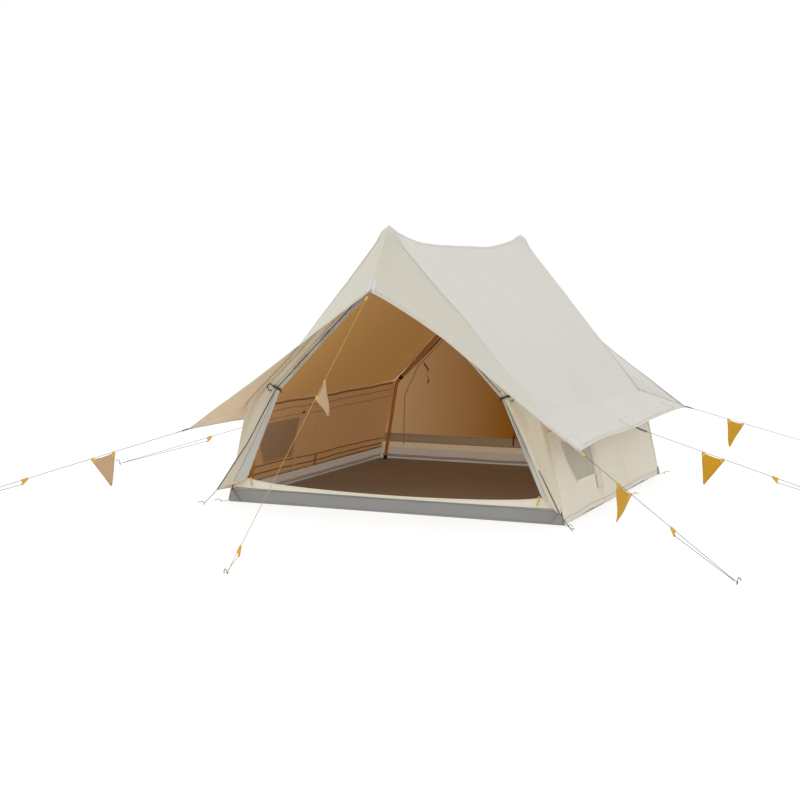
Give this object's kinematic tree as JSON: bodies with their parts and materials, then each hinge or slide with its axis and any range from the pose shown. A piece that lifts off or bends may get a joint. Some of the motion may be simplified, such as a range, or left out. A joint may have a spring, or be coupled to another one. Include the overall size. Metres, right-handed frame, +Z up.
{
  "type": "bell tent",
  "caption": "Cotton ridge tent with two peaks, steep roof, awnings at both ends, low side walls, gathered front doors, bathtub floor, inner pole frames and pegged guy lines.",
  "frame": {"origin": "on the ground under the middle of the tent", "axes": "+Z up, Y along the ridge with the open doorway facing -Y, +X to the right seen from the doorway side"},
  "size_m": [5.4245, 6.0582, 1.73],
  "materials": {
    "roof_canvas": "off-white cotton canvas, matte",
    "wall_canvas": "beige cotton canvas, matte",
    "mud_wall_cloth": "grey coated groundsheet cloth",
    "floor_cloth": "brown coated floor cloth",
    "pole_tube": "golden-brown tube, satin",
    "black_plastic": "black moulded plastic",
    "guy_cord": "pale braided cord",
    "runner_plastic": "yellow-orange moulded plastic",
    "yellow_pennant": "golden-yellow woven cloth",
    "sand_pennant": "sand-coloured woven cloth",
    "peg_steel": "bent steel rod",
    "zip_webbing": "yellow webbing pull"
  },
  "bodies": {
    "tent": {"roof_left": "roof_canvas", "eave_left": "roof_canvas", "awning_front_left": "roof_canvas", "awning_rear_left": "roof_canvas", "roof_right": "roof_canvas", "eave_right": "roof_canvas", "awning_front_right": "roof_canvas", "awning_rear_right": "roof_canvas", "wall_left": "wall_canvas", "door_upper_left": "wall_canvas", "door_lower_left": "wall_canvas", "wall_right": "wall_canvas", "door_upper_right": "wall_canvas", "door_lower_right": "wall_canvas", "rear_gable": "wall_canvas", "groundsheet_floor": "floor_cloth", "mud_wall_left": "mud_wall_cloth", "mud_wall_right": "mud_wall_cloth", "mud_wall_front": "mud_wall_cloth", "mud_wall_rear": "mud_wall_cloth", "front_sill": "wall_canvas", "pole_leg_front_left": "pole_tube", "pole_collar_front_left": "black_plastic", "pole_rafter_front_left": "pole_tube", "pole_leg_front_right": "pole_tube", "pole_collar_front_right": "black_plastic", "pole_rafter_front_right": "pole_tube", "apex_connector_front": "black_plastic", "pole_leg_rear_left": "pole_tube", "pole_collar_rear_left": "black_plastic", "pole_rafter_rear_left": "pole_tube", "pole_leg_rear_right": "pole_tube", "pole_collar_rear_right": "black_plastic", "pole_rafter_rear_right": "pole_tube", "apex_connector_rear": "black_plastic", "guy_cord_front": "guy_cord", "guy_peg_front": "peg_steel", "guy_cord_front_left": "guy_cord", "guy_peg_front_left": "peg_steel", "guy_cord_front_right": "guy_cord", "guy_peg_front_right": "peg_steel", "guy_cord_mid_left": "guy_cord", "guy_peg_mid_left": "peg_steel", "guy_cord_mid_right": "guy_cord", "guy_peg_mid_right": "peg_steel", "guy_cord_rear_right": "guy_cord", "guy_peg_rear_right": "peg_steel"},
    "runner_front": {"guy_runner_front": "runner_plastic"},
    "pennant_front": {"pennant_front": "sand_pennant"},
    "runner_front_left": {"guy_runner_front_left": "runner_plastic"},
    "pennant_front_left": {"pennant_front_left": "sand_pennant"},
    "runner_front_right": {"guy_runner_front_right": "runner_plastic"},
    "pennant_front_right": {"pennant_front_right": "yellow_pennant"},
    "runner_mid_left": {"guy_runner_mid_left": "runner_plastic"},
    "runner_mid_right": {"guy_runner_mid_right": "runner_plastic"},
    "pennant_mid_right": {"pennant_mid_right": "yellow_pennant"},
    "runner_rear_right": {"guy_runner_rear_right": "runner_plastic"},
    "pennant_rear_right": {"pennant_rear_right": "yellow_pennant"},
    "zip_left": {"zip_slider_left": "zip_webbing"},
    "zip_right": {"zip_slider_right": "zip_webbing"}
  },
  "joints": [
    {"name": "runner_slide_front", "type": "slide", "parent": "tent", "child": "runner_front", "axis": [0, 0.7947, 0.6069], "range_m": [0, 0.08]},
    {"name": "pennant_swing_front", "type": "hinge", "parent": "tent", "child": "pennant_front", "pos_m": [0, -2.20067, 0.87294], "axis": [0, -0.7947, -0.6069], "range_deg": [-110, 110]},
    {"name": "runner_slide_front_left", "type": "slide", "parent": "tent", "child": "runner_front_left", "axis": [0.696, 0.6685, 0.2621], "range_m": [0, 0.08]},
    {"name": "pennant_swing_front_left", "type": "hinge", "parent": "tent", "child": "pennant_front_left", "pos_m": [-1.57569, -1.82154, 0.35371], "axis": [-0.696, -0.6685, -0.2621], "range_deg": [-110, 110]},
    {"name": "runner_slide_front_right", "type": "slide", "parent": "tent", "child": "runner_front_right", "axis": [-0.6885, 0.661, 0.2983], "range_m": [0, 0.08]},
    {"name": "pennant_swing_front_right", "type": "hinge", "parent": "tent", "child": "pennant_front_right", "pos_m": [1.54044, -1.78757, 0.35015], "axis": [0.6885, -0.661, -0.2983], "range_deg": [-110, 110]},
    {"name": "runner_slide_mid_left", "type": "slide", "parent": "tent", "child": "runner_mid_left", "axis": [0.9543, 0.0135, 0.2985], "range_m": [0, 0.08]},
    {"name": "runner_slide_mid_right", "type": "slide", "parent": "tent", "child": "runner_mid_right", "axis": [-0.9567, 0, 0.2912], "range_m": [0, 0.08]},
    {"name": "pennant_swing_mid_right", "type": "hinge", "parent": "tent", "child": "pennant_mid_right", "pos_m": [1.65362, 0, 0.33053], "axis": [0.9567, 0, -0.2912], "range_deg": [-110, 110]},
    {"name": "runner_slide_rear_right", "type": "slide", "parent": "tent", "child": "runner_rear_right", "axis": [-0.6951, -0.6676, 0.2667], "range_m": [0, 0.08]},
    {"name": "pennant_swing_rear_right", "type": "hinge", "parent": "tent", "child": "pennant_rear_right", "pos_m": [1.50156, 1.75036, 0.37978], "axis": [0.6951, 0.6676, -0.2667], "range_deg": [-110, 110]},
    {"name": "zip_slide_left", "type": "slide", "parent": "tent", "child": "zip_left", "axis": [0.9987, 0, -0.0507], "range_m": [0, 0.9]},
    {"name": "zip_slide_right", "type": "slide", "parent": "tent", "child": "zip_right", "axis": [-0.9987, 0, -0.0507], "range_m": [0, 0.9]}
  ]
}
